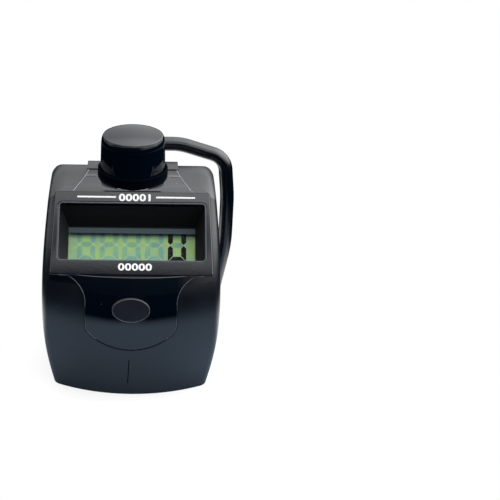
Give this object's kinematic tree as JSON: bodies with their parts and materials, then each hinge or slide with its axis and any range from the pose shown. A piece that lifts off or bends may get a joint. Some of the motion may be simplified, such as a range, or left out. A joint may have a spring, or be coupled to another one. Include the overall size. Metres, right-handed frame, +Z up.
{
  "type": "digital tally counter",
  "caption": "Hand-held electronic tally counter with a thumb button on top, a sunken digital display, a reset button and a swinging finger loop.",
  "frame": {"origin": "centre of the flat base face that the counter stands on", "axes": "+Z up along the body's height, -Y out of the front with the display, +X to the right seen from the front"},
  "size_m": [0.0534, 0.0491, 0.0701],
  "materials": {
    "satin_black_abs": "satin, fine moulded texture",
    "gloss_black_abs": "polished",
    "matt_black_abs": "matt",
    "clear_acrylic": "clear",
    "display_glass": "clear with a green cast",
    "reflector_film": "soft reflecting film",
    "amber_polyimide": "smooth film",
    "green_laminate": "solder mask",
    "black_epoxy": "cast",
    "bright_steel": "bright drawn",
    "spring_steel": "drawn wire",
    "nickel_strip": "nickel plated",
    "zinc_steel": "zinc plated",
    "black_nylon": "moulded"
  },
  "bodies": {
    "case": {"board_jumper": "amber_polyimide", "board_screws": "zinc_steel", "bracket_screws": "zinc_steel", "button_cell": "bright_steel", "capacitor": "bright_steel", "cell_door": "satin_black_abs", "chip_cover": "black_epoxy", "count_spring": "spring_steel", "count_switch": "black_nylon", "crystal": "bright_steel", "display_clamp": "matt_black_abs", "display_lens": "clear_acrylic", "display_ribbon": "amber_polyimide", "display_well": "matt_black_abs", "door_screw": "zinc_steel", "front_glass": "display_glass", "front_housing": "satin_black_abs", "front_trim": "gloss_black_abs", "housing_screws": "zinc_steel", "main_board": "green_laminate", "negative_contact": "nickel_strip", "positive_contact": "nickel_strip", "rear_cover": "satin_black_abs", "rear_glass": "display_glass", "reflector_film": "reflector_film", "reset_switch": "black_nylon", "resistors": "black_epoxy", "switch_board": "green_laminate", "switch_bracket": "matt_black_abs"},
    "count_button": {"count_button": "gloss_black_abs"},
    "count_plunger": {"count_plunger": "black_nylon"},
    "reset_button": {"reset_button": "gloss_black_abs"},
    "reset_plunger": {"reset_plunger": "black_nylon"},
    "finger_loop": {"finger_loop": "gloss_black_abs"}
  },
  "joints": [
    {"name": "count_press", "type": "slide", "parent": "case", "child": "count_button", "axis": [0, 0, -1], "range_m": [0, 0.002], "stiffness_N_per_m": 400, "springref_m": -0.002, "deforming": ["count_spring"]},
    {"name": "count_plunger_travel", "type": "slide", "parent": "case", "child": "count_plunger", "axis": [0, 0, -1], "range_m": [0, 0.00025]},
    {"name": "reset_press", "type": "slide", "parent": "case", "child": "reset_button", "axis": [0, 1, 0], "range_m": [0, 0.0006], "stiffness_N_per_m": 600, "springref_m": -0.0006},
    {"name": "reset_plunger_travel", "type": "slide", "parent": "case", "child": "reset_plunger", "axis": [0, 1, 0], "range_m": [0, 0.00025]},
    {"name": "loop_swing", "type": "hinge", "parent": "case", "child": "finger_loop", "pos_m": [0, 0.024, 0.033], "axis": [0, 0, 1], "range_deg": [0, 180]}
  ],
  "couplings": [
    {"joint": "count_plunger_travel", "follows": "count_press", "ratio": 0.125},
    {"joint": "reset_plunger_travel", "follows": "reset_press", "ratio": 0.4166}
  ]
}
